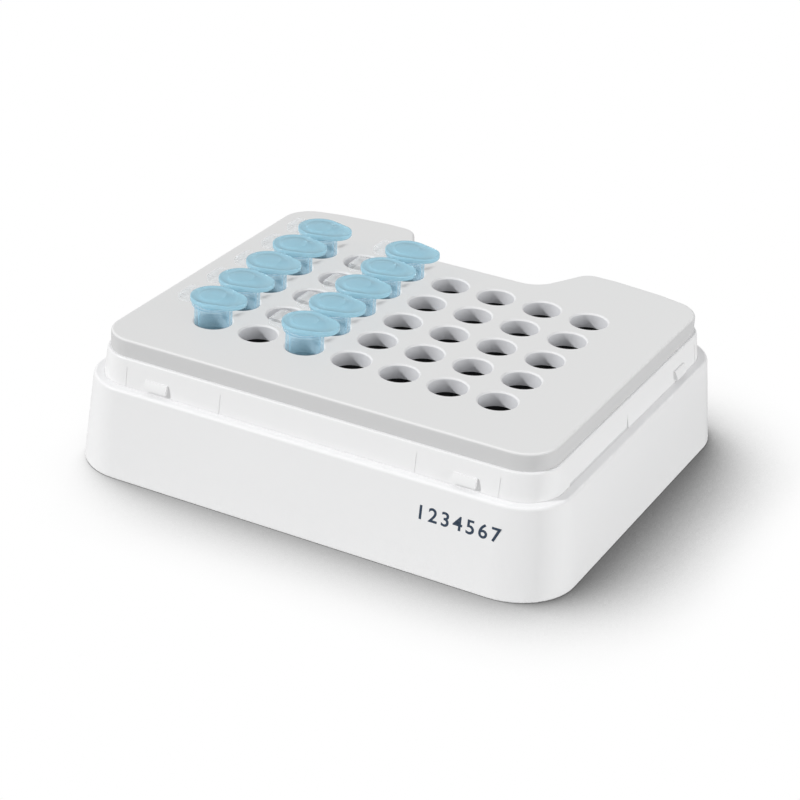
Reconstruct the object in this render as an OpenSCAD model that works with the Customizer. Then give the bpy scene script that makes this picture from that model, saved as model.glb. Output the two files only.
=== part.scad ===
// Interchangeable 35-well heating block module for 1.5 mL microtubes.
// Frame: origin at the middle of the footprint on the surface it stands on,
// X along the seven columns, Y towards the notched back, Z up.

/* [Wells] */
// Columns of wells, along X
cols = 7; // [7:1:9]
// Rows of wells, along Y
rows = 5; // [5:1:7]
// Distance from well to well
pitch = 15; // [14.6:0.1:16]
// Bore of the holes in the top plate
plate_bore = 10.9; // [10.6:0.1:11.4]
// How much wider the block's wells are than the plate's holes
well_extra = 0; // [0:0.1:0.5]
// Countersink round each hole of the top plate
mouth = 0.45; // [0.2:0.05:0.8]
// How far the grid of wells sits towards the front
grid_fwd = 3.5; // [0:0.5:5]
// How far the grid of wells sits towards the left
grid_left = 1; // [0:0.1:2]

/* [Plan of the module] */
// Margin of the top plate beyond the outer wells' axes, each side
margin_x = 24; // [22:0.1:30]
// Margins beyond the outer wells' axes, front and back together
margin_y = 55.3; // [52:0.1:60]
// Corner radius of the top plate
corner_r = 9.8; // [8:0.1:12]
// Slope of the back edge towards the corners, in degrees
bow = 13; // [8:1:16]
// Where the back edge starts to slope, in from the side
bow_in = 30; // [26:0.5:32]
// Radius of the bends in the back edge
bow_r = 10; // [6:1:12]
// Depth of the notch in the back edge
notch_deep = 16.85; // [14:0.05:18]
// Half width of the notch at its bottom
notch_half = 20.7; // [16:0.1:21]
// Slope of the notch's flanks, in degrees
notch_slope = 62; // [58:1:75]
// Radius in the notch's bottom corners
notch_r = 9; // [8.6:0.1:12]
// Radius on the notch's lobes
lobe_r = 5.5; // [4:0.1:6]

/* [Heights] */
// Height of the ledge round the skirt
ledge_z = 26.9; // [24:0.1:30]
// Height of the collar above the ledge
collar_h = 8.1; // [7:0.1:12]
// Thickness of the top plate
plate_t = 5.2; // [4:0.1:8]
// Rounding of the plate's upper edge
plate_soft = 0.8; // [0.3:0.1:1.2]
// Depth of the recess under the block, which takes the heater
recess_h = 5; // [2:0.5:5.5]

/* [Skirt] */
// How far the ledge reaches outside the top plate
ledge_out = 4.9; // [4.5:0.1:5.5]
// Draft of the skirt from the ledge to its foot
skirt_draft = 3; // [1:0.1:3.2]
// Wall of the skirt
skirt_wall = 2; // [1.6:0.1:2.2]
// Rounding of the ledge's outer edge
ledge_soft = 0.9; // [0.5:0.1:1.2]
// Thickness of the ribs that carry the collar inside the skirt
rib_t = 1.4; // [1:0.1:2]
// How far the ribs reach inside the collar's foot
rib_in = 1.5; // [1:0.5:3]
// Places of the front ribs, from the middle: inner pair, outer pair
rib_x = 18; // [12:1:24]
rib_far = 50; // [42:1:56]
// Places of the side ribs, from the middle: towards the front, the back
rib_front = 30; // [20:1:36]
rib_back = 10; // [4:1:16]

/* [Collar] */
// How far the collar's rim reaches outside the top plate
rim_out = 0.9; // [0.6:0.1:1.2]
// Draft of the collar from its rim to the ledge
collar_draft = 1.1; // [0.5:0.1:1.2]
// Wall of the collar
collar_wall = 2.6; // [2:0.1:3]
// Thickness of the flange that the top plate is screwed to
flange_t = 2.6; // [2:0.1:3]
// Play between the collar and the opening of the skirt
snap_play = 0.05; // [0.05:0.05:0.3]
// Depth of the collar below the skirt's top, inside the skirt
collar_skirt = 6; // [4:0.5:8]
// Length of a snap lug
lug_l = 7; // [4:0.5:10]
// Height of a snap lug
lug_h = 2.6; // [2:0.1:3.5]
// How far a snap lug stands out
lug_out = 1.1; // [0.6:0.1:1.6]
// Height of the snap lugs above the ledge
lug_up = 1.1; // [0.5:0.1:2]
// Place of the front and back snap lugs, from the middle
lug_x = 48; // [40:0.5:50]
// Place of the side snap lugs, behind the middle
lug_y = 32; // [28:0.5:36]
// Width of the slits beside the snap lugs
slit_w = 0.5; // [0.4:0.1:1]
// Distance of the long tongues' slits from their lugs: front left, front right
slit_left = 20.6; // [16:0.2:24]
slit_right = 14.6; // [12:0.2:20]
// Depth of the slits
slit_d = 0.3; // [0.2:0.1:0.8]
// Depth of the grip recess in each side of the collar
grip_d = 0.6; // [0.3:0.1:0.8]

/* [Heating block] */
// Wall of the block outside the outer wells
block_wall = 5; // [4:0.5:6]
// Corner radius of the block
block_r = 6; // [4:0.5:10]
// Thickness of the seal between the block and the top plate
seal_t = 1.6; // [1:0.1:2]
// Depth of the pocket under the plate that the seal sits in
seal_pocket = 0.8; // [0.4:0.1:1]
// Play round the tubes in the seal
seal_play = 0.7; // [0.5:0.1:1]
// Thickness of the insulating sleeve round the block
sleeve_t = 2.8; // [2:0.1:3]

/* [Screws] */
// Nominal diameter of the block screws
block_screw = 4; // [3:0.5:4]
// Nominal diameter of the plate screws
plate_screw = 3; // [2.5:0.5:3]
// Clearance of the screw holes, on the diameter
screw_clear = 0.4; // [0.3:0.1:0.5]
// Depth of the threads in the top plate
thread_deep = 3.4; // [2.5:0.1:3.6]
// Distance of the plate screws from the plate's sides, its front and its back
seat_side = 7.6; // [7:0.1:9]
seat_front = 10; // [8:0.5:12]
seat_back = 16; // [14:0.5:18]

/* [Microtubes] */
// Outer diameter of the barrel
tube_d = 10.8; // [10.2:0.1:10.8]
// Wall of the barrel
tube_wall = 0.9; // [0.7:0.1:1.1]
// Length from the tip to the rim
tube_l = 38.4; // [36:0.1:39]
// Length of the tapered end
taper_l = 17.6; // [15:0.1:19]
// Outer diameter at the tip
tip_d = 3.8; // [3.4:0.1:4.4]
// Height of the rim above the top plate
rim_up = 6.6; // [5.5:0.1:8]
// Diameter of the rim
rim_d = 12.4; // [11.8:0.1:12.8]
// Thickness of the rim
rim_t = 1.2; // [1:0.1:1.6]
// Diameter of the lid
lid_d = 13.2; // [12.8:0.1:13.4]
// Thickness of the lid
lid_t = 1.4; // [1.2:0.1:1.6]
// How far the thumb tab reaches from the tube's axis
tab_reach = 9.7; // [8.5:0.1:10]
// Radius of the thumb tab's end
tab_r = 4; // [3:0.1:4.5]
// Diameter of the raised disc on the lid
disc_d = 7.6; // [6:0.1:9]
// Depth of the lid's plug
plug_l = 1.6; // [1.2:0.1:1.8]
// Play round the plug when it is shut
plug_play = 0.35; // [0.3:0.05:0.45]
// Width of the hinge strap
strap_w = 4.4; // [3:0.1:5]
// How far the strap's fold stands from the tube's axis
strap_reach = 9.4; // [8.4:0.1:10]
// Thickness of the strap
strap_t = 0.6; // [0.5:0.1:0.8]

/* [Hidden] */
$fn = 64;
e = 0.01;
hw = (cols - 1) / 2 * pitch + margin_x;
hd = ((rows - 1) * pitch + margin_y) / 2;
collar_z = ledge_z + collar_h;
top_z = collar_z + plate_t;
seal_top = collar_z + seal_pocket;
block_top = seal_top - seal_t;
well_d = plate_bore + well_extra;
block_hw = (cols - 1) / 2 * pitch + well_d / 2 + block_wall;
block_hd = (rows - 1) / 2 * pitch + well_d / 2 + block_wall;
foot_out = ledge_out + skirt_draft;
collar_out = rim_out + collar_draft;
collar_foot = ledge_z - skirt_wall - collar_skirt;
rim_z = top_z + rim_up;
tip_z = rim_z - tube_l;
mouth_r = tube_d / 2 - tube_wall + 0.15;
rib_end = hw - bow_in - 3;
screw_x = (cols / 2 - 1) * pitch;
screw_y = (rows / 2 - 1) * pitch;
taper_z = tip_z + taper_l;
plug_r = mouth_r - plug_play;

// Place of a well, by its column and row from the front left
function well(c, r) = [(c - (cols - 1) / 2) * pitch - grid_left,
  (r - (rows - 1) / 2) * pitch - grid_fwd];

// The plan as corners [x, y, radius], anticlockwise from the front right
function half_plan() = let(nx = notch_half + notch_deep / tan(notch_slope)) [
  [hw, -hd, corner_r], [hw, hd - bow_in * (tan(bow / 2) + tan(bow)) / 2, corner_r],
  [hw - bow_in / 2, hd - bow_in / 2 * tan(bow / 2), bow_r], [hw - bow_in, hd, bow_r],
  [nx, hd, lobe_r], [notch_half, hd - notch_deep, notch_r]];
function plan_path() = let(h = half_plan(), n = len(h))
  concat(h, [for (i = [n - 1:-1:0]) [-h[i].x, h[i].y, h[i][2]]]);

// Outward normals of the edges before and after corner i, and its turn
function xy(p, i) = let(q = p[(i + len(p)) % len(p)]) [q.x, q.y];
function nrm(p, i) = let(d = xy(p, i + 1) - xy(p, i)) [d.y, -d.x] / norm(d);
function turn(p, i) = let(a = nrm(p, i - 1), b = nrm(p, i)) a.x * b.y - a.y * b.x;

// The plan's outline moved outward by g: each corner becomes an arc about
// a centre that stays where it is, so the outlines at all offsets match
function outline(g) = let(p = plan_path()) [for (i = [0:len(p) - 1])
  let(a = nrm(p, i - 1), b = nrm(p, i), s = turn(p, i) > 0 ? 1 : -1,
    c = xy(p, i) - s * p[i][2] * (a + b) / (1 + a * b), r = p[i][2] + s * g,
    t = acos(a * b), a0 = atan2(a.y, a.x), n = ceil(t / 8))
  for (k = [0:n]) let(w = a0 + s * t * k / n) c + s * r * [cos(w), sin(w)]];

// A closed profile of [offset, height] points swept all round the plan
module sweep(profile) {
  n = len(outline(0));
  m = len(profile);
  polyhedron([for (l = profile, v = outline(l[0])) [v.x, v.y, l[1]]],
    [for (l = [0:m - 1], i = [0:n - 1]) let(a = l * n, b = (l + 1) % m * n, j = (i + 1) % n)
      [a + i, b + i, b + j, a + j]]);
}

// A slab with the plan's outline moved outward by g
module prism(g, z0, z1) { translate([0, 0, z0]) linear_extrude(z1 - z0) polygon(outline(g)); }

// A profile of [outward from the plate's edge, height], l wide, at place s
// along a side: the angle of the side's outward direction is 0, 90, 180 or 270
module on_side(angle, s, l) {
  rotate([0, 0, angle]) translate([angle % 180 == 0 ? hw : hd, s, 0])
    rotate([90, 0, 0]) translate([0, 0, -l / 2]) linear_extrude(l) children();
}

// Rectangle of the heating block in plan, grown by g
module block_plan(g, z0, z1) {
  r = block_r + g;
  translate([-grid_left, -grid_fwd, z0]) linear_extrude(z1 - z0) union() {
    square([2 * (block_hw - block_r), 2 * (block_hd + g)], center = true);
    square([2 * (block_hw + g), 2 * (block_hd - block_r)], center = true);
    for (x = [-1, 1], y = [-1, 1])
      translate([x * (block_hw - block_r), y * (block_hd - block_r)]) circle(r);
  }
}
module at_wells() { for (c = [0:cols - 1], r = [0:rows - 1]) translate(well(c, r)) children(); }
module at_block_screws() {
  for (x = [-1, 1], y = [-1, 1]) translate([x * screw_x - grid_left, y * screw_y - grid_fwd])
    children();
}
function plate_screw_at(i) = [(i % 2 == 0 ? -1 : 1) * (hw - seat_side),
  i < 2 ? seat_front - hd : hd - seat_back];

function skirt_at(z) = foot_out - skirt_draft * z / ledge_z;
function collar_at(z) = collar_out - collar_draft * (z - ledge_z) / collar_h;

// Moulded skirt: drafted shell with a ledge, open below, ribbed inside
module skirt() {
  s = ledge_soft;
  w = skirt_wall;
  top = ledge_z - w;
  color("white") union() {
    sweep([[foot_out - 0.4, 0], [skirt_at(0.6), 0.6], [skirt_at(ledge_z - s), ledge_z - s],
      [ledge_out - 0.134 * s, ledge_z - 0.5 * s], [ledge_out - 0.5 * s, ledge_z - 0.134 * s],
      [ledge_out - s, ledge_z], [collar_out + snap_play, ledge_z], [collar_out + snap_play, top],
      [skirt_at(top) - w, top], [foot_out - w, 0]]);
    for (side = [[270, -rib_far], [270, -rib_x], [270, rib_x], [270, rib_far],
      [0, -rib_front], [0, rib_back], [180, -rib_back], [180, rib_front],
      [90, -rib_end], [90, rib_end]]) on_side(side[0], side[1], rib_t)
        polygon([[collar_out - collar_wall - rib_in, 1], [skirt_at(1) - w / 2, 1],
          [skirt_at(collar_foot) - w / 2, collar_foot],
          [collar_out - collar_wall - rib_in, collar_foot]]);
  }
}

// Moulded collar: passes up through the skirt's opening, carries the top plate
module collar() {
  a = ledge_z + lug_up;
  color("whitesmoke") difference() {
    union() {
      sweep([[collar_out, collar_foot], [collar_out, ledge_z], [collar_at(collar_z - 0.6), collar_z - 0.6],
        [rim_out - 0.2, collar_z - 0.15], [rim_out - 0.5, collar_z], [-3, collar_z], [-3, collar_z - flange_t],
        [collar_out - collar_wall, collar_z - flange_t], [collar_out - collar_wall, collar_foot]]);
      prism(-2, collar_z - flange_t, collar_z);
      for (side = [[270, -lug_x], [270, lug_x], [0, lug_y], [180, -lug_y]])
        on_side(side[0], side[1], lug_l) polygon([[0, a], [collar_at(a) + lug_out, a],
          [collar_at(a) + lug_out, a + 0.35 * lug_h], [collar_at(a) + 0.2, a + lug_h], [0, a + lug_h]]);
    }
    block_plan(0.8, collar_z - flange_t - 1, collar_z + 1);
    for (side = [[270, -lug_x - 10], [270, -lug_x + slit_left], [270, lug_x - slit_right], [270, lug_x + 10],
      [0, lug_y + 12.5], [180, -lug_y - 12.5]]) on_side(side[0], side[1], slit_w)
        polygon([[collar_out - slit_d, ledge_z - 1], [collar_out + 1, ledge_z - 1],
          [collar_out + 1, a + lug_h + 2], [collar_at(a + lug_h + 2) - slit_d, a + lug_h + 2]]);
    for (x = [0, 1]) mirror([x, 0, 0]) translate([hw + collar_out - grip_d, 14 - hd, ledge_z - 1])
      cube([2, hd - 18.5, collar_h - 1]);
    for (i = [0:3]) translate([each plate_screw_at(i), collar_z - flange_t - 1])
      cylinder(d = plate_screw + screw_clear, h = flange_t + 2);
  }
}

// Drilled top plate, with threads below for the screws
module top_plate() {
  s = plate_soft;
  color("gainsboro") difference() {
    union() {
      sweep([[0, collar_z], [0, top_z - s], [-0.134 * s, top_z - 0.5 * s],
        [-0.5 * s, top_z - 0.134 * s], [-s, top_z], [-3, top_z], [-3, collar_z]]);
      prism(-2, collar_z, top_z);
    }
    at_wells() {
      translate([0, 0, collar_z - 1]) cylinder(d = plate_bore, h = plate_t + 2);
      translate([0, 0, top_z - mouth])
        cylinder(d1 = plate_bore, d2 = plate_bore + 2.2 * mouth, h = 1.1 * mouth);
    }
    block_plan(0.2, collar_z - 1, seal_top);
    at_block_screws() translate([0, 0, collar_z - 1]) cylinder(d = block_screw, h = thread_deep + 1);
    for (i = [0:3]) translate([each plate_screw_at(i), collar_z - 1])
      cylinder(d = plate_screw, h = thread_deep + 1);
  }
}

// Seal between the block and the plate
module seal() {
  color("dimgray") difference() {
    block_plan(0, block_top, seal_top);
    at_wells() translate([0, 0, block_top - 1]) cylinder(d = tube_d + 2 * seal_play, h = seal_t + 2);
    at_block_screws() translate([0, 0, block_top - 1])
      cylinder(d = block_screw + screw_clear, h = seal_t + 2);
  }
}

// Aluminium block: each well is a bore with a taper that the tube's end fits
module heating_block() {
  color("darkgray") difference() {
    block_plan(0, recess_h, block_top);
    at_wells() translate([0, 0, tip_z]) {
      cylinder(d1 = tip_d + 0.6, d2 = well_d, h = taper_l);
      translate([0, 0, taper_l]) cylinder(d = well_d, h = block_top - taper_z + 1);
    }
    at_block_screws() {
      translate([0, 0, recess_h]) cylinder(d = block_screw + screw_clear, h = block_top);
      translate([0, 0, recess_h - 1]) cylinder(d = 2 * block_screw, h = 4);
    }
  }
}

// Insulating sleeve round the block, under the collar's flange
module sleeve() {
  color("lightslategray") difference() {
    block_plan(sleeve_t, recess_h + 1, collar_z - flange_t);
    block_plan(0, recess_h, collar_z);
  }
}

// Screw with its head below, standing on the head's upper face
module screw(d, head_h, l) {
  difference() {
    union() {
      cylinder(d = d, h = l);
      translate([0, 0, -head_h]) cylinder(d = 1.8 * d, h = head_h);
    }
    translate([0, 0, -head_h - 1]) cylinder(d = d, h = 0.5 * head_h + 1, $fn = 6);
  }
}
module block_screws() {
  color("silver") at_block_screws() translate([0, 0, recess_h + 3])
    screw(block_screw, 2.6, collar_z + thread_deep - 0.2 - recess_h - 3);
}
module plate_screws() {
  color("silver") for (i = [0:3]) translate([each plate_screw_at(i), collar_z - flange_t])
    screw(plate_screw, 2, flange_t + thread_deep - 0.2);
}

// Wells that hold tubes: the first and the third column
function tube_at(i) = well(i < 5 ? 0 : 2, i % 5);

// Thin-walled microtube, with half of its hinge strap at the rim
module tube(i) {
  r = tube_d / 2;
  w = tube_wall;
  t = tip_d / 2;
  color("lightblue") translate(tube_at(i)) union() {
    rotate_extrude() polygon([[0, tip_z], [t - 0.6, tip_z], [t, tip_z + 0.7], [r - 0.15, taper_z],
      [r, taper_z + 6], [r, rim_z - rim_t], [rim_d / 2, rim_z - rim_t], [rim_d / 2, rim_z],
      [mouth_r, rim_z], [mouth_r, rim_z - plug_l - 0.8], [r - w, rim_z - plug_l - 1.4],
      [r - w - 0.15, taper_z], [t - 0.75 * w, tip_z + 2.4], [0.5, tip_z + 1.3], [0, tip_z + 1.3]]);
    translate([-strap_reach, -strap_w / 2, rim_z - strap_t - 0.1])
      cube([strap_reach - rim_d / 2 + 0.5, strap_w, strap_t]);
  }
}

// Lid with its plug, raised disc, thumb tab and the other half of the strap
module lid(i) {
  b = tab_reach - tab_r;
  w = acos((lid_d / 2 - tab_r) / b);
  color("skyblue") translate([each tube_at(i), rim_z]) {
    difference() {
      union() {
        cylinder(d = lid_d, h = lid_t);
        translate([0, 0, -plug_l]) cylinder(r = plug_r, h = plug_l + e);
        cylinder(d = disc_d, h = lid_t + 0.25);
        translate([b, 0, 0.2]) cylinder(r = tab_r, h = lid_t - 0.4);
        translate([0, 0, 0.2]) linear_extrude(lid_t - 0.4)
          polygon([for (p = [[0, lid_d / 2 - 0.02, -w], [b, tab_r - 0.02, -w], [b, tab_r - 0.02, w],
            [0, lid_d / 2 - 0.02, w]]) [p[0] + p[1] * cos(p[2]), p[1] * sin(p[2])]]);
        translate([-strap_reach, -strap_w / 2, 0.1])
          cube([strap_reach - lid_d / 2 + 1, strap_w, strap_t]);
      }
      translate([0, 0, -plug_l - 1]) cylinder(r = plug_r - 0.9, h = plug_l + 1);
    }
  }
}

skirt();
collar();
top_plate();
seal();
heating_block();
sleeve();
block_screws();
plate_screws();
tube(0);  // tube_1
tube(1);  // tube_2
tube(2);  // tube_3
tube(3);  // tube_4
tube(4);  // tube_5
tube(5);  // tube_6
tube(6);  // tube_7
tube(7);  // tube_8
tube(8);  // tube_9
tube(9);  // tube_10
lid(0);  // lid_1
lid(1);  // lid_2
lid(2);  // lid_3
lid(3);  // lid_4
lid(4);  // lid_5
lid(5);  // lid_6
lid(6);  // lid_7
lid(7);  // lid_8
lid(8);  // lid_9
lid(9);  // lid_10
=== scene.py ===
import math

import bmesh
import bpy
from mathutils import Matrix, Vector


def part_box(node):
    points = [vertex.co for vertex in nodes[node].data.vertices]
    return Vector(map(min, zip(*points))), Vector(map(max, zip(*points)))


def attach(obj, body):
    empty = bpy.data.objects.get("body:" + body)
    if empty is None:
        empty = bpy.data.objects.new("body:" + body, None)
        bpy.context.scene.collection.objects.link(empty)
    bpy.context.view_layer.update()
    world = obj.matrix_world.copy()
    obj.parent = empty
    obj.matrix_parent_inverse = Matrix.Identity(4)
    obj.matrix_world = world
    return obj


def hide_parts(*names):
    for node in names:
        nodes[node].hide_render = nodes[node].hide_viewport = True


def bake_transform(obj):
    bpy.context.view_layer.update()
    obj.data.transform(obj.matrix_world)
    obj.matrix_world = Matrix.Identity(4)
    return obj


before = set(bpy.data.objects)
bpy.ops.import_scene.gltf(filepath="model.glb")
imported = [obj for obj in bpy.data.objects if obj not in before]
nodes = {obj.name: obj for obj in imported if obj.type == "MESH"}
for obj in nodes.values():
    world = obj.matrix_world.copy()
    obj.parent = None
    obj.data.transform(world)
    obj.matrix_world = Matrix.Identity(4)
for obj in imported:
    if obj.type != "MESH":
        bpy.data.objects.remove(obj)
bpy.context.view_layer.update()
MM = 0.001

# ---- Camera and table ----
# The module is seen from its front right, from a little above, on a white table. The table's seen colour
# is an even white emission with a painted shadow round the foot, darkened by ambient occlusion leaned
# towards the right.
camera_turn = math.radians(26.908)
camera_rise = math.radians(27.004)
camera_tilt = math.radians(3.002)
camera_distance = 613.24 * MM
camera_aim = Vector((21.4, -47.15, 40.2)) * MM
camera_sensor, camera_lens = 36, 103.27
camera_shift = (0.0006, -0.0015)
camera_back = Vector((math.sin(camera_turn) * math.cos(camera_rise),
                      -math.cos(camera_turn) * math.cos(camera_rise), math.sin(camera_rise)))
level_right = Vector((math.cos(camera_turn), math.sin(camera_turn), 0))
level_up = camera_back.cross(level_right)
camera_right = math.cos(camera_tilt) * level_right + math.sin(camera_tilt) * level_up
camera_up = camera_back.cross(camera_right)
camera_data = bpy.data.cameras.new("camera")
camera_data.sensor_width = camera_sensor
camera_data.lens = camera_lens
camera_data.shift_x, camera_data.shift_y = camera_shift
camera_data.clip_end = 50
camera = bpy.data.objects.new("camera", camera_data)
camera.matrix_world = (Matrix.Translation(camera_aim + camera_distance * camera_back)
                       @ Matrix((camera_right, camera_up, camera_back)).transposed().to_4x4())
bpy.context.scene.collection.objects.link(camera)
bpy.context.scene.camera = camera
bpy.context.scene.view_settings.view_transform = "Standard"


def new_material(name):
    """A material with an empty node tree, and a function that adds a node to it."""
    material = bpy.data.materials.new(name)
    material.use_nodes = True
    tree = material.node_tree
    tree.nodes.clear()

    def add(kind, **settings):
        node = tree.nodes.new(kind)
        for key, value in settings.items():
            setattr(node, key, value)
        return node

    return material, tree, add


def mesh_piece(name, bm):
    """An object at the origin from a bmesh, which is freed."""
    mesh = bpy.data.meshes.new(name)
    bm.to_mesh(mesh)
    bm.free()
    piece = bpy.data.objects.new(name, mesh)
    bpy.context.scene.collection.objects.link(piece)
    return piece


table_radius = 4
table_shade_reach = 42 * MM
table_white, table_shade = 1.0, 0.12
table_covered, table_open = 0.3, 0.95
table_bounce = (0.7, 0.7, 0.7, 1)
shade_lean = Vector((-0.58, 0.1, 0.9)).normalized()
bm = bmesh.new()
bmesh.ops.create_circle(bm, cap_ends=True, segments=64, radius=table_radius)
table = mesh_piece("table", bm)
material, tree, add = new_material("white_table")
output = add("ShaderNodeOutputMaterial")
mix = add("ShaderNodeMixShader")
path = add("ShaderNodeLightPath")
bounce = add("ShaderNodeBsdfDiffuse")
bounce.inputs["Color"].default_value = table_bounce
seen = add("ShaderNodeEmission")
# Painted shadow: ambient occlusion with a leaned normal darkens the table's seen white near the object.
painted_shadow_occlusion = add("ShaderNodeAmbientOcclusion", samples=16)
painted_shadow_occlusion.inputs["Distance"].default_value = table_shade_reach
lean = add("ShaderNodeCombineXYZ")
for axis, value in zip("XYZ", shade_lean):
    lean.inputs[axis].default_value = value
tree.links.new(lean.outputs[0], painted_shadow_occlusion.inputs["Normal"])
shade = add("ShaderNodeMapRange", interpolation_type="SMOOTHSTEP")
shade.inputs["From Min"].default_value = table_covered
shade.inputs["From Max"].default_value = table_open
shade.inputs["To Min"].default_value = table_shade
shade.inputs["To Max"].default_value = table_white
tree.links.new(painted_shadow_occlusion.outputs["AO"], shade.inputs["Value"])
tree.links.new(shade.outputs["Result"], seen.inputs["Color"])
tree.links.new(path.outputs["Is Camera Ray"], mix.inputs[0])
tree.links.new(bounce.outputs[0], mix.inputs[1])
tree.links.new(seen.outputs[0], mix.inputs[2])
tree.links.new(mix.outputs[0], output.inputs["Surface"])
table.data.materials.append(material)

# ---- Light ----
# A white room, a low sun from the front left that reaches into the wells,
# and a broad soft lamp from the right.
room_strength, room_colour = 0.45, (0.985, 0.99, 1, 1)
world = bpy.data.worlds.new("white_room")
bpy.context.scene.world = world
world.use_nodes = True
tree = world.node_tree
tree.nodes.clear()
output = tree.nodes.new("ShaderNodeOutputWorld")
room = tree.nodes.new("ShaderNodeBackground")
room.inputs["Strength"].default_value = room_strength
room.inputs["Color"].default_value = room_colour
backdrop = tree.nodes.new("ShaderNodeBackground")
backdrop.inputs["Color"].default_value = (1, 1, 1, 1)
path = tree.nodes.new("ShaderNodeLightPath")
clear_ray = tree.nodes.new("ShaderNodeMath")
clear_ray.operation = "MAXIMUM"
mix = tree.nodes.new("ShaderNodeMixShader")
tree.links.new(path.outputs["Is Camera Ray"], clear_ray.inputs[0])
tree.links.new(path.outputs["Is Transmission Ray"], clear_ray.inputs[1])
tree.links.new(clear_ray.outputs[0], mix.inputs[0])
tree.links.new(room.outputs[0], mix.inputs[1])
tree.links.new(backdrop.outputs[0], mix.inputs[2])
tree.links.new(mix.outputs[0], output.inputs["Surface"])

sun_turn, sun_rise = math.radians(221), math.radians(29)
sun_energy, sun_width = 2.25, math.radians(4)
sun_from = Vector((math.cos(sun_turn) * math.cos(sun_rise),
                   math.sin(sun_turn) * math.cos(sun_rise), math.sin(sun_rise)))
sun = bpy.data.objects.new("sun", bpy.data.lights.new("sun", "SUN"))
sun.data.energy = sun_energy
sun.data.angle = sun_width
sun.rotation_mode = "QUATERNION"
sun.rotation_quaternion = (-sun_from).to_track_quat("-Z", "Y")
bpy.context.scene.collection.objects.link(sun)

lamp_from = Vector((0.97, -0.08, 0.2)).normalized()
lamp_size, lamp_energy, lamp_distance = 0.9, 10.0, 1.3
lamp = bpy.data.objects.new("side_lamp", bpy.data.lights.new("side_lamp", "AREA"))
lamp.data.shape = "DISK"
lamp.data.size = lamp_size
lamp.data.energy = lamp_energy
lamp.location = lamp_distance * lamp_from
lamp.rotation_mode = "QUATERNION"
lamp.rotation_quaternion = (-lamp_from).to_track_quat("-Z", "Y")
bpy.context.scene.collection.objects.link(lamp)

# ---- Skirt and collar ----
# Two injection mouldings in white plastic with a fine satin spark-eroded
# skin. The collar snaps into the opening of the skirt.


def grain_group():
    """The faint pebble of a moulded skin, with slow drifts in its gloss."""
    group = bpy.data.node_groups.new("moulded_skin", "ShaderNodeTree")
    face = group.interface
    face.new_socket("Grain", in_out="INPUT", socket_type="NodeSocketFloat")
    face.new_socket("Roughness", in_out="INPUT", socket_type="NodeSocketFloat")
    face.new_socket("Drift", in_out="INPUT", socket_type="NodeSocketFloat")
    face.new_socket("Height", in_out="OUTPUT", socket_type="NodeSocketFloat")
    face.new_socket("Roughness", in_out="OUTPUT", socket_type="NodeSocketFloat")
    face.new_socket("Cloud", in_out="OUTPUT", socket_type="NodeSocketFloat")
    new, link = group.nodes.new, group.links.new
    given, result = new("NodeGroupInput"), new("NodeGroupOutput")
    place = new("ShaderNodeTexCoord")
    pebble = new("ShaderNodeTexNoise")
    pebble.inputs["Detail"].default_value = 3
    cloud = new("ShaderNodeTexNoise")
    cloud.inputs["Scale"].default_value = 28
    cloud.inputs["Detail"].default_value = 4
    centred = new("ShaderNodeMath")
    centred.operation = "SUBTRACT"
    centred.inputs[1].default_value = 0.5
    swing = new("ShaderNodeMath")
    swing.operation = "MULTIPLY_ADD"
    link(place.outputs["Object"], pebble.inputs["Vector"])
    link(given.outputs["Grain"], pebble.inputs["Scale"])
    link(place.outputs["Object"], cloud.inputs["Vector"])
    link(cloud.outputs["Fac"], centred.inputs[0])
    link(centred.outputs[0], swing.inputs[0])
    link(given.outputs["Drift"], swing.inputs[1])
    link(given.outputs["Roughness"], swing.inputs[2])
    link(pebble.outputs["Fac"], result.inputs["Height"])
    link(swing.outputs[0], result.inputs["Roughness"])
    link(cloud.outputs["Fac"], result.inputs["Cloud"])
    return group


moulded_skin = grain_group()


def moulded(name, colour, shade, roughness, grain, depth, painted_top_light=None):
    """Opaque moulded plastic between two close colours, with painted light that makes it lighter where
    it faces up.
    """
    material, tree, add = new_material(name)
    output = add("ShaderNodeOutputMaterial")
    plastic = add("ShaderNodeBsdfPrincipled")
    plastic.inputs["IOR"].default_value = 1.5
    plastic.inputs["Specular IOR Level"].default_value = 0.35
    skin = add("ShaderNodeGroup", node_tree=moulded_skin)
    skin.inputs["Grain"].default_value = grain
    skin.inputs["Roughness"].default_value = roughness
    skin.inputs["Drift"].default_value = 0.12
    tint = add("ShaderNodeMix", data_type="RGBA")
    tint.inputs["A"].default_value = (*colour, 1)
    tint.inputs["B"].default_value = (*shade, 1)
    geometry = add("ShaderNodeNewGeometry")
    facing = add("ShaderNodeSeparateXYZ")
    # Painted light: faces that point up are mixed towards a lighter colour.
    top_light_mask = add("ShaderNodeMapRange")
    top_light_mask.inputs["From Min"].default_value = 0.5
    top_light_mask.inputs["From Max"].default_value = 0.95
    top_light_paint = add("ShaderNodeMix", data_type="RGBA")
    top_light_paint.inputs["B"].default_value = (*(painted_top_light or colour), 1)
    bump = add("ShaderNodeBump")
    bump.inputs["Strength"].default_value = 0.25
    bump.inputs["Distance"].default_value = depth
    tree.links.new(skin.outputs["Cloud"], tint.inputs["Factor"])
    tree.links.new(geometry.outputs["Normal"], facing.inputs[0])
    tree.links.new(facing.outputs["Z"], top_light_mask.inputs["Value"])
    tree.links.new(top_light_mask.outputs["Result"], top_light_paint.inputs["Factor"])
    tree.links.new(tint.outputs["Result"], top_light_paint.inputs["A"])
    tree.links.new(top_light_paint.outputs["Result"], plastic.inputs["Base Color"])
    tree.links.new(skin.outputs["Roughness"], plastic.inputs["Roughness"])
    tree.links.new(skin.outputs["Height"], bump.inputs["Height"])
    tree.links.new(bump.outputs["Normal"], plastic.inputs["Normal"])
    tree.links.new(plastic.outputs[0], output.inputs["Surface"])
    return material


weld_gap, flat_turn, sharp_turn = 0.002 * MM, math.radians(0.2), math.radians(38)


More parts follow.
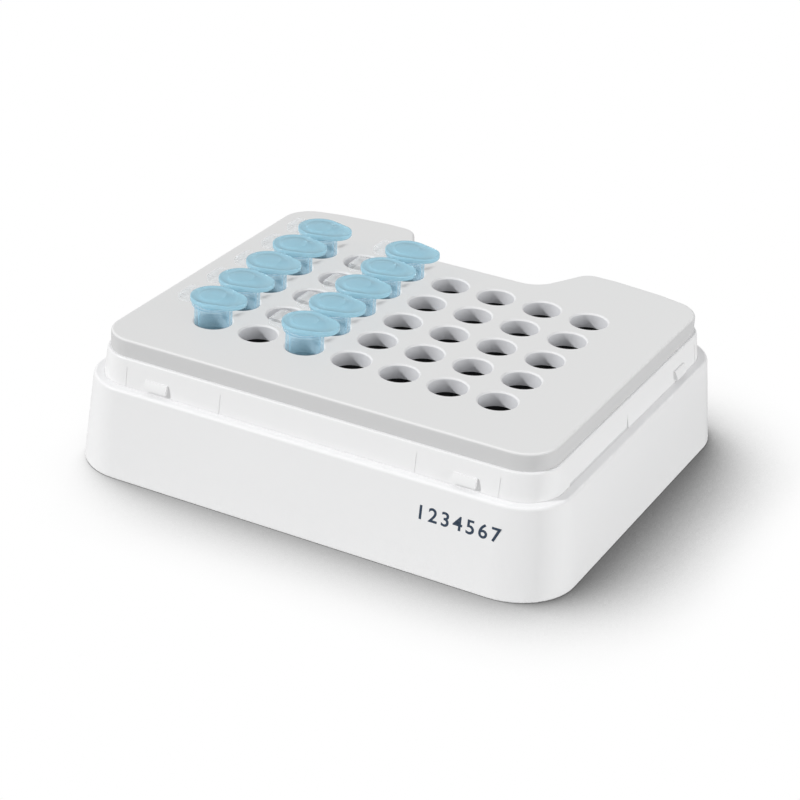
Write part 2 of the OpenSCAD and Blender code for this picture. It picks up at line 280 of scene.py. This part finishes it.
def smooth_copy(node, name, material, change=None):
    """A copy of a faceted node, welded, with round corners that shade as round."""
    bm = bmesh.new()
    bm.from_mesh(nodes[node].data)
    bmesh.ops.remove_doubles(bm, verts=bm.verts, dist=weld_gap)
    bmesh.ops.dissolve_limit(bm, angle_limit=flat_turn, verts=bm.verts, edges=bm.edges)
    if change:
        change(bm)
    for face in bm.faces:
        face.smooth = True
    for edge in bm.edges:
        edge.smooth = len(edge.link_faces) == 2 and edge.calc_face_angle(0) < sharp_turn
    piece = mesh_piece(name, bm)
    weighted = piece.modifiers.new("even_shading", "WEIGHTED_NORMAL")
    weighted.keep_sharp = True
    weighted.weight = 100
    piece.data.materials.append(material)
    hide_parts(node)
    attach(piece, "module")


# Painted light: the skirt's upward faces, such as the ledge, take a lighter colour.
skirt_plastic = moulded("skirt_plastic", (0.79, 0.79, 0.79), (0.775, 0.775, 0.775), 0.42,
                        2600, 0.02 * MM, painted_top_light=(0.93, 0.93, 0.935))
smooth_copy("skirt", "skirt_shell", skirt_plastic)
# Painted light: the collar's upward faces take a lighter colour.
collar_plastic = moulded("collar_plastic", (0.795, 0.795, 0.795), (0.78, 0.78, 0.78), 0.38,
                         2600, 0.015 * MM, painted_top_light=(0.87, 0.87, 0.875))
ledge_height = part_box("skirt")[1].z
cut_below_ledge, cut_raised_to = 1 * MM, ledge_height - 0.01 * MM
slit_width, slit_fill = 0.5 * MM, 0.2 * MM
slit_shortest, slit_longest = 4 * MM, 10 * MM
height_slack, width_slack = 0.05 * MM, 0.04 * MM


def close_cuts(bm):
    """Ends the grip recesses and slits at the ledge, and leaves the slits as fine lines."""
    for vert in bm.verts:
        if abs(vert.co.z - ledge_height + cut_below_ledge) < height_slack:
            vert.co.z = cut_raised_to
    floors = []
    for face in bm.faces:
        lengths = sorted(edge.calc_length() for edge in face.edges)
        if (len(lengths) == 4 and abs(lengths[0] - slit_width) < width_slack
                and slit_shortest < lengths[-1] < slit_longest and abs(face.normal.z) < 0.3):
            floors.append(face)
    for face in floors:
        bmesh.ops.translate(bm, verts=face.verts, vec=slit_fill * face.normal)


smooth_copy("collar", "collar_shell", collar_plastic, close_cuts)

# ---- Top plate ----
# Aluminium plate: a light grey satin lacquer on its top, bare brushed metal on its milled edge and in
# the reamed holes. The edge's darker tone is partly painted shade, so the sides read darker than the
# top.
plate_lacquer, edge_metal_and_shade = (0.845, 0.845, 0.84, 1), (0.58, 0.58, 0.58, 1)
plate_hole = (0.71, 0.715, 0.735, 1)
holes_middle_y, holes_reach_x, holes_reach_y = -3.5 * MM, 54 * MM, 37 * MM


def plate_metal():
    """Lacquer where the plate faces up, and bare metal in two tones on edge and hole walls; the darker
    edge tone is partly painted shade.
    """
    material, tree, add = new_material("plate_metal")
    output = add("ShaderNodeOutputMaterial")
    metal = add("ShaderNodeBsdfPrincipled")
    metal.inputs["IOR"].default_value = 1.5
    metal.inputs["Specular IOR Level"].default_value = 0.35
    place = add("ShaderNodeTexCoord")
    facing = add("ShaderNodeSeparateXYZ")
    # Partly painted shade: faces that do not point up take the darker edge colour.
    lacquer_and_shade_mask = add("ShaderNodeMapRange")
    lacquer_and_shade_mask.inputs["From Min"].default_value = 0.35
    lacquer_and_shade_mask.inputs["From Max"].default_value = 0.9
    spot = add("ShaderNodeSeparateXYZ")
    across = add("ShaderNodeMath", operation="ABSOLUTE")
    in_rows = add("ShaderNodeMath", operation="COMPARE")
    in_rows.inputs[1].default_value = holes_middle_y
    in_rows.inputs[2].default_value = holes_reach_y
    in_columns = add("ShaderNodeMath", operation="LESS_THAN")
    in_columns.inputs[1].default_value = holes_reach_x
    in_holes = add("ShaderNodeMath", operation="MULTIPLY")
    wall = add("ShaderNodeMix", data_type="RGBA")
    wall.inputs["A"].default_value = edge_metal_and_shade
    wall.inputs["B"].default_value = plate_hole
    tint = add("ShaderNodeMix", data_type="RGBA")
    tint.inputs["B"].default_value = plate_lacquer
    skin = add("ShaderNodeGroup", node_tree=moulded_skin)
    skin.inputs["Grain"].default_value = 3800
    skin.inputs["Roughness"].default_value = 0.5
    skin.inputs["Drift"].default_value = 0.10
    bump = add("ShaderNodeBump")
    bump.inputs["Strength"].default_value = 0.2
    bump.inputs["Distance"].default_value = 0.01 * MM
    geometry = add("ShaderNodeNewGeometry")
    link = tree.links.new
    link(geometry.outputs["Normal"], facing.inputs[0])
    link(facing.outputs["Z"], lacquer_and_shade_mask.inputs["Value"])
    link(lacquer_and_shade_mask.outputs["Result"], tint.inputs["Factor"])
    link(place.outputs["Object"], spot.inputs[0])
    link(spot.outputs["X"], across.inputs[0])
    link(spot.outputs["Y"], in_rows.inputs[0])
    link(across.outputs[0], in_columns.inputs[0])
    link(in_rows.outputs[0], in_holes.inputs[0])
    link(in_columns.outputs[0], in_holes.inputs[1])
    link(in_holes.outputs[0], wall.inputs["Factor"])
    link(wall.outputs["Result"], tint.inputs["A"])
    link(tint.outputs["Result"], metal.inputs["Base Color"])
    link(skin.outputs["Roughness"], metal.inputs["Roughness"])
    link(skin.outputs["Height"], bump.inputs["Height"])
    link(bump.outputs["Normal"], metal.inputs["Normal"])
    link(metal.outputs[0], output.inputs["Surface"])
    return material


smooth_copy("top_plate", "plate_top", plate_metal())

# ---- Seal, heating block and sleeve ----
# A black rubber seal lies in a pocket under the plate. The block is dark
# anodised aluminium with turned wells, and a closed-cell foam sleeve wraps it.


def turned_metal():
    """Anodised metal with fine rings from the turning tool."""
    material, tree, add = new_material("block_metal")
    output = add("ShaderNodeOutputMaterial")
    metal = add("ShaderNodeBsdfPrincipled")
    metal.inputs["Metallic"].default_value = 1
    place = add("ShaderNodeTexCoord")
    stretch = add("ShaderNodeMapping")
    stretch.inputs["Scale"].default_value = (30, 30, 6000)
    tooling = add("ShaderNodeTexNoise")
    tooling.inputs["Scale"].default_value = 1
    tooling.inputs["Detail"].default_value = 4
    tint = add("ShaderNodeMix", data_type="RGBA")
    tint.inputs["A"].default_value = (0.16, 0.165, 0.175, 1)
    tint.inputs["B"].default_value = (0.24, 0.245, 0.255, 1)
    gloss = add("ShaderNodeMapRange")
    gloss.inputs["To Min"].default_value = 0.32
    gloss.inputs["To Max"].default_value = 0.52
    bump = add("ShaderNodeBump")
    bump.inputs["Strength"].default_value = 0.3
    bump.inputs["Distance"].default_value = 0.02 * MM
    link = tree.links.new
    link(place.outputs["Object"], stretch.inputs["Vector"])
    link(stretch.outputs["Vector"], tooling.inputs["Vector"])
    link(tooling.outputs["Fac"], tint.inputs["Factor"])
    link(tooling.outputs["Fac"], gloss.inputs["Value"])
    link(tooling.outputs["Fac"], bump.inputs["Height"])
    link(tint.outputs["Result"], metal.inputs["Base Color"])
    link(gloss.outputs["Result"], metal.inputs["Roughness"])
    link(bump.outputs["Normal"], metal.inputs["Normal"])
    link(metal.outputs[0], output.inputs["Surface"])
    return material


def dress(node, material):
    """Gives a node that keeps its own shape its finish."""
    nodes[node].data.materials.clear()
    nodes[node].data.materials.append(material)


dress("seal", moulded("seal_rubber", (0.016, 0.016, 0.018), (0.03, 0.03, 0.032), 0.75,
                      1800, 0.03 * MM))
dress("heating_block", turned_metal())
dress("sleeve", moulded("sleeve_foam", (0.03, 0.03, 0.033), (0.06, 0.06, 0.064), 0.9,
                        900, 0.12 * MM))

# ---- Screws ----
# Zinc-plated hexagon socket screws. Four hold the block to the plate, and
# four more hold the plate to the flange of the collar.


def plated_steel():
    """Bright steel with the fine ridges of a thread."""
    material, tree, add = new_material("screw_steel")
    output = add("ShaderNodeOutputMaterial")
    metal = add("ShaderNodeBsdfPrincipled")
    metal.inputs["Metallic"].default_value = 1
    place = add("ShaderNodeTexCoord")
    thread = add("ShaderNodeTexWave", bands_direction="Z", wave_profile="TRI")
    thread.inputs["Scale"].default_value = 220
    thread.inputs["Distortion"].default_value = 0.4
    tint = add("ShaderNodeMix", data_type="RGBA")
    tint.inputs["A"].default_value = (0.48, 0.48, 0.5, 1)
    tint.inputs["B"].default_value = (0.62, 0.62, 0.63, 1)
    gloss = add("ShaderNodeMapRange")
    gloss.inputs["To Min"].default_value = 0.24
    gloss.inputs["To Max"].default_value = 0.4
    bump = add("ShaderNodeBump")
    bump.inputs["Strength"].default_value = 0.4
    bump.inputs["Distance"].default_value = 0.1 * MM
    link = tree.links.new
    link(place.outputs["Object"], thread.inputs["Vector"])
    link(thread.outputs["Fac"], tint.inputs["Factor"])
    link(thread.outputs["Fac"], gloss.inputs["Value"])
    link(thread.outputs["Fac"], bump.inputs["Height"])
    link(tint.outputs["Result"], metal.inputs["Base Color"])
    link(gloss.outputs["Result"], metal.inputs["Roughness"])
    link(bump.outputs["Normal"], metal.inputs["Normal"])
    link(metal.outputs[0], output.inputs["Surface"])
    return material


screw_steel = plated_steel()
dress("block_screws", screw_steel)
dress("plate_screws", screw_steel)

# ---- Microtubes ----
# Thin-walled tubes moulded in clear, faintly blue polypropylene, each with a
# thick rim, two fine grooves below it, and a conical end.
tube_foot, tube_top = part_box("tube_1")[0].z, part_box("tube_1")[1].z
tube_radius = 5.4 * MM
bore_radius = tube_radius - 0.9 * MM
rim_radius = 6.2 * MM
rim_base = tube_top - 1.2 * MM
groove_radius = tube_radius - 0.2 * MM
groove_places = (3.4 * MM, 2.4 * MM)
groove_width, groove_slope = 0.4 * MM, 0.1 * MM
taper_top = tube_foot + 17.6 * MM
tip_radius = 1.9 * MM
mouth_radius = 4.65 * MM


def clear_plastic(name, colour, cloudy, roughness, clearness, passing, film, body_share):
    """Thin tinted plastic: a clear film where it is seen head on, and body colour towards its
    outlines. Lamps pass through it, so that it throws only a pale shadow."""
    material, tree, add = new_material(name)
    output = add("ShaderNodeOutputMaterial")
    plastic = add("ShaderNodeBsdfPrincipled")
    plastic.inputs["IOR"].default_value = 1.49
    plastic.inputs["Transmission Weight"].default_value = clearness
    skin = add("ShaderNodeGroup", node_tree=moulded_skin)
    skin.inputs["Grain"].default_value = 1500
    skin.inputs["Roughness"].default_value = roughness
    skin.inputs["Drift"].default_value = 0.08
    tint = add("ShaderNodeMix", data_type="RGBA")
    tint.inputs["A"].default_value = (*colour, 1)
    tint.inputs["B"].default_value = (*cloudy, 1)
    bump = add("ShaderNodeBump")
    bump.inputs["Strength"].default_value = 0.12
    bump.inputs["Distance"].default_value = 0.02 * MM
    path = add("ShaderNodeLightPath")
    through = add("ShaderNodeBsdfTransparent")
    through.inputs["Color"].default_value = (*passing, 1)
    unseen = add("ShaderNodeMath", operation="MAXIMUM")
    clear_film = add("ShaderNodeBsdfTransparent")
    clear_film.inputs["Color"].default_value = (*film, 1)
    outline = add("ShaderNodeLayerWeight")
    outline.inputs["Blend"].default_value = 0.3
    share = add("ShaderNodeMapRange")
    share.inputs["From Min"].default_value = 0.3
    share.inputs["To Min"].default_value = body_share
    share.inputs["To Max"].default_value = 0.95
    skin_mix = add("ShaderNodeMixShader")
    mix = add("ShaderNodeMixShader")
    link = tree.links.new
    link(skin.outputs["Cloud"], tint.inputs["Factor"])
    link(tint.outputs["Result"], plastic.inputs["Base Color"])
    link(skin.outputs["Roughness"], plastic.inputs["Roughness"])
    link(skin.outputs["Height"], bump.inputs["Height"])
    link(bump.outputs["Normal"], plastic.inputs["Normal"])
    link(path.outputs["Is Shadow Ray"], unseen.inputs[0])
    link(path.outputs["Is Diffuse Ray"], unseen.inputs[1])
    link(unseen.outputs[0], mix.inputs[0])
    link(outline.outputs["Facing"], share.inputs["Value"])
    link(share.outputs["Result"], skin_mix.inputs[0])
    link(clear_film.outputs[0], skin_mix.inputs[1])
    link(plastic.outputs[0], skin_mix.inputs[2])
    link(skin_mix.outputs[0], mix.inputs[1])
    link(through.outputs[0], mix.inputs[2])
    link(mix.outputs[0], output.inputs["Surface"])
    return material


def lathe(bm, profile, steps=56):
    """A closed shell turned about Z from a section of (radius, height) points."""
    corners = [bm.verts.new((radius, 0, height)) for radius, height in profile]
    edges = [bm.edges.new(pair) for pair in zip(corners, corners[1:])]
    bmesh.ops.spin(bm, geom=corners + edges, axis=(0, 0, 1), cent=(0, 0, 0),
                   angle=math.tau, steps=steps, use_merge=True)
    bmesh.ops.remove_doubles(bm, verts=bm.verts, dist=0.001 * MM)


def soften(bm, width, least_angle=35):
    """Rounds every edge that turns by more than least_angle degrees."""
    sharp = [edge for edge in bm.edges if len(edge.link_faces) == 2
             and edge.calc_face_angle(0) > math.radians(least_angle)]
    bmesh.ops.bevel(bm, geom=sharp, offset=width, offset_type="OFFSET", affect="EDGES",
                    segments=2, profile=0.5, material=-1, clamp_overlap=True)


def tube_place(number):
    """The point on a tube's axis at the top of its rim."""
    low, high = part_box(f"tube_{number}")
    return Vector((high.x - rim_radius, (low.y + high.y) / 2, high.z))


tube_section = [(0, tube_foot), (tip_radius - 0.6 * MM, tube_foot), (tip_radius, tube_foot + 0.7 * MM),
                (tube_radius - 0.15 * MM, taper_top), (tube_radius, taper_top + 6 * MM)]
for below_top in groove_places:
    start = tube_top - below_top
    end = start + groove_width
    tube_section += [(tube_radius, start), (groove_radius, start + groove_slope),
                     (groove_radius, end - groove_slope), (tube_radius, end)]
tube_section += [(tube_radius, rim_base), (rim_radius, rim_base), (rim_radius, tube_top),
                 (mouth_radius, tube_top), (mouth_radius, tube_top - 2.4 * MM),
                 (bore_radius, tube_top - 3.0 * MM), (bore_radius - 0.15 * MM, taper_top),
                 (tip_radius - 0.68 * MM, tube_foot + 2.4 * MM),
                 (0.5 * MM, tube_foot + 1.3 * MM), (0, tube_foot + 1.3 * MM)]
tube_plastic = clear_plastic("tube_plastic", (0.38, 0.69, 0.88), (0.42, 0.72, 0.89), 0.12, 0.1,
                             (0.995, 0.997, 0.998), (0.92, 0.96, 0.98), 0.18)
for number in range(1, 11):
    place = tube_place(number)
    bm = bmesh.new()
    lathe(bm, tube_section)
    soften(bm, 0.14 * MM)
    for face in bm.faces:
        face.smooth = True
    bmesh.ops.recalc_face_normals(bm, faces=bm.faces)
    bmesh.ops.translate(bm, verts=bm.verts, vec=(place.x, place.y, 0))
    tube = mesh_piece(f"clear_tube_{number}", bm)
    tube.data.materials.append(tube_plastic)
    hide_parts(f"tube_{number}")
    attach(tube, f"tube_{number}")

# ---- Lids ----
# Round snap lids with a broad thumb tab, a raised frosted disc to write on,
# and a plug below. Thicker than the tubes, so they look milky.
lid_radius = 6.6 * MM
lid_top = 1.4 * MM
disc_radius, disc_top = 3.8 * MM, 1.5 * MM
plug_radius, plug_bore, plug_foot = 4.3 * MM, 3.4 * MM, -1.6 * MM
tab_radius, tab_reach = 5.2 * MM, 10.3 * MM
tab_centre = tab_reach - tab_radius
tab_turn = math.acos((lid_radius - tab_radius) / tab_centre)
lid_corners = 72


def lid_point(turn, outward, height, radius):
    """A point of the lid's outline moved outward, or of a circle where a radius is given."""
    way = Vector((math.cos(turn), math.sin(turn), 0))
    if radius is not None:
        return radius * way + Vector((0, 0, height))
    if abs(turn) < tab_turn:
        return Vector((tab_centre, 0, height)) + (tab_radius + outward) * way
    return (lid_radius + outward) * way + Vector((0, 0, height))


def next_ring(bm, edges):
    """Extrudes a ring of edges, and returns the vertices and edges of the new ring."""
    grown = bmesh.ops.extrude_edge_only(bm, edges=edges)["geom"]
    verts = [part for part in grown if isinstance(part, bmesh.types.BMVert)]
    return verts, [part for part in grown if isinstance(part, bmesh.types.BMEdge)
                   and all(vert in verts for vert in part.verts)]


def first_ring(bm, corners):
    """A ring whose vertices each keep their angle in a layer, to be laid out from it."""
    turn_of = bm.verts.layers.float.new("turn")
    verts = bmesh.ops.create_circle(bm, cap_ends=False, segments=corners, radius=1)["verts"]
    for vert in verts:
        vert[turn_of] = math.atan2(vert.co.y, vert.co.x)
    return turn_of, verts, list(bm.edges)


def close_ends(bm):
    """Fills the two open ends and smooths all but them."""
    bmesh.ops.holes_fill(bm, edges=[edge for edge in bm.edges if edge.is_boundary], sides=0)
    bmesh.ops.recalc_face_normals(bm, faces=bm.faces)
    for face in bm.faces:
        face.smooth = len(face.verts) < 5


# Each ring is (outward from the outline, height, radius), from the middle of the
# underside, down and up the plug, round the edge, to the middle of the disc.
lid_rings = [(0, 0, plug_bore - 0.15 * MM), (0, -0.15 * MM, plug_bore),
             (0, plug_foot + 0.1 * MM, plug_bore), (0, plug_foot, plug_bore + 0.15 * MM),
             (0, plug_foot, plug_radius - 0.3 * MM), (0, plug_foot + 0.25 * MM, plug_radius - 0.06 * MM),
             (0, -0.8 * MM, plug_radius), (0, 0, plug_radius),
             (-0.3 * MM, 0, None), (-0.1 * MM, 0.08 * MM, None), (0, 0.25 * MM, None),
             (0, lid_top - 0.22 * MM, None), (-0.05 * MM, lid_top - 0.05 * MM, None),
             (-0.2 * MM, lid_top, None), (-0.55 * MM, lid_top, None),
             (-0.62 * MM, lid_top - 0.04 * MM, None), (0, lid_top - 0.04 * MM, disc_radius + 0.06 * MM),
             (0, disc_top - 0.04 * MM, disc_radius - 0.02 * MM),
             (0, disc_top, disc_radius - 0.12 * MM), (0, disc_top, 0.4 * disc_radius)]


def lid_mesh():
    """A closed shell that steps from ring to ring."""
    bm = bmesh.new()
    turn_of, verts, edges = first_ring(bm, lid_corners)
    for index, (outward, height, radius) in enumerate(lid_rings):
        if index:
            verts, edges = next_ring(bm, edges)
        for vert in verts:
            vert.co = lid_point(vert[turn_of], outward, height, radius)
    close_ends(bm)
    return bm


lid_plastic = clear_plastic("lid_plastic", (0.40, 0.69, 0.82), (0.44, 0.71, 0.83), 0.22, 0.3,
                            (0.985, 0.99, 0.993), (0.80, 0.90, 0.95), 0.85)
for number in range(1, 11):
    bm = lid_mesh()
    bmesh.ops.translate(bm, verts=bm.verts, vec=tube_place(number))
    lid = mesh_piece(f"snap_lid_{number}", bm)
    lid.data.materials.append(lid_plastic)
    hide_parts(f"lid_{number}")
    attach(lid, f"lid_{number}")

# ---- Hinge straps ----
# The thin band moulded between the rim and the lid. It bulges outward when
# the lid is shut, and bends as the lid opens.
strap_width, strap_waist, strap_thickness = 6.4 * MM, 5.6 * MM, 0.42 * MM
strap_root, root_in_rim, root_in_lid = 1.0 * MM, 0.4 * MM, 0.5 * MM
fold_reach, fold_middle, fold_height = 9.95 * MM, 8.75 * MM, 1.15 * MM
side_squareness, face_squareness = 0.3, 0.6
strap_steps, strap_corners = 30, 24
strap_line = [Vector((root_in_rim - rim_radius, 0, -strap_root))]
for step in range(strap_steps + 1):
    turn = math.pi * (1.5 - step / strap_steps)
    strap_line.append(Vector((-fold_middle + (fold_reach - fold_middle) * math.cos(turn), 0,
                              fold_height * math.sin(turn))))
strap_line.append(Vector((root_in_lid - lid_radius, 0, strap_root)))


def strap_mesh():
    """A band with rounded edges, swept from the rim round the fold and into the lid."""
    bm = bmesh.new()
    turn_of, verts, edges = first_ring(bm, strap_corners)
    last = len(strap_line) - 1
    for index, point in enumerate(strap_line):
        if index:
            verts, edges = next_ring(bm, edges)
        along = strap_line[min(index + 1, last)] - strap_line[max(index - 1, 0)]
        outward = along.cross(Vector((0, 1, 0))).normalized()
        from_waist = abs(2 * index / last - 1)
        half_width = (strap_waist + (strap_width - strap_waist) * from_waist) / 2
        for vert in verts:
            side, face = math.cos(vert[turn_of]), math.sin(vert[turn_of])
            across = math.copysign(abs(side) ** side_squareness, side) * half_width
            through = math.copysign(abs(face) ** face_squareness, face) * strap_thickness / 2
            vert.co = point + Vector((0, across, 0)) + outward * through
    close_ends(bm)
    return bm


strap_plastic = clear_plastic("strap_plastic", (0.95, 0.96, 0.965), (0.96, 0.97, 0.975), 0.3, 0.15,
                              (0.99, 0.993, 0.995), (0.98, 0.99, 0.995), 0.28)
for number in range(1, 11):
    place = tube_place(number)
    bm = strap_mesh()
    bmesh.ops.translate(bm, verts=bm.verts, vec=place)
    strap = mesh_piece(f"hinge_strap_{number}", bm)
    strap.data.materials.append(strap_plastic)
    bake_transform(strap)

# ---- Printed numbers ----
# The numbers of the seven columns of wells, pad-printed in dark blue ink on
# the sloping front of the skirt.
print_height, print_thickness = 4.1 * MM, 0.06 * MM
digit_share_of_size = 0.72
stroke_growth, print_spacing = 0.09 * MM, 0.52
print_left, print_base = 36.2 * MM, 16.4 * MM
skirt_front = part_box("skirt")[0].y
draft = 3.0 * MM / ledge_height


def print_ink():
    """Matt ink of uneven depth."""
    material, tree, add = new_material("print_ink")
    output = add("ShaderNodeOutputMaterial")
    ink = add("ShaderNodeBsdfPrincipled")
    skin = add("ShaderNodeGroup", node_tree=moulded_skin)
    skin.inputs["Grain"].default_value = 2600
    skin.inputs["Roughness"].default_value = 0.45
    skin.inputs["Drift"].default_value = 0.2
    tint = add("ShaderNodeMix", data_type="RGBA")
    tint.inputs["A"].default_value = (0.012, 0.028, 0.055, 1)
    tint.inputs["B"].default_value = (0.022, 0.045, 0.08, 1)
    tree.links.new(skin.outputs["Cloud"], tint.inputs["Factor"])
    tree.links.new(tint.outputs["Result"], ink.inputs["Base Color"])
    tree.links.new(skin.outputs["Roughness"], ink.inputs["Roughness"])
    tree.links.new(ink.outputs[0], output.inputs["Surface"])
    return material


text = bpy.data.curves.new("column_numbers", "FONT")
text.body = "1 2 3 4 5 6 7"
text.size = print_height / digit_share_of_size
text.extrude = print_thickness / 2
text.offset = stroke_growth
text.space_word = print_spacing
writing = bpy.data.objects.new("column_numbers_text", text)
bpy.context.scene.collection.objects.link(writing)
bpy.context.view_layer.update()
evaluated = writing.evaluated_get(bpy.context.evaluated_depsgraph_get())
printed_mesh = bpy.data.meshes.new_from_object(evaluated)
bpy.data.objects.remove(writing)
bm = bmesh.new()
bm.from_mesh(printed_mesh)
bmesh.ops.remove_doubles(bm, verts=bm.verts, dist=0.001 * MM)
front_y = skirt_front + draft * print_base - print_thickness
lean = Matrix.Rotation(math.pi / 2 - math.atan(draft), 4, "X")
on_skirt = Matrix.Translation((print_left, front_y, print_base)) @ lean
bmesh.ops.transform(bm, matrix=on_skirt, verts=bm.verts)
numbers = mesh_piece("column_numbers", bm)
numbers.data.materials.append(print_ink())
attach(numbers, "module")
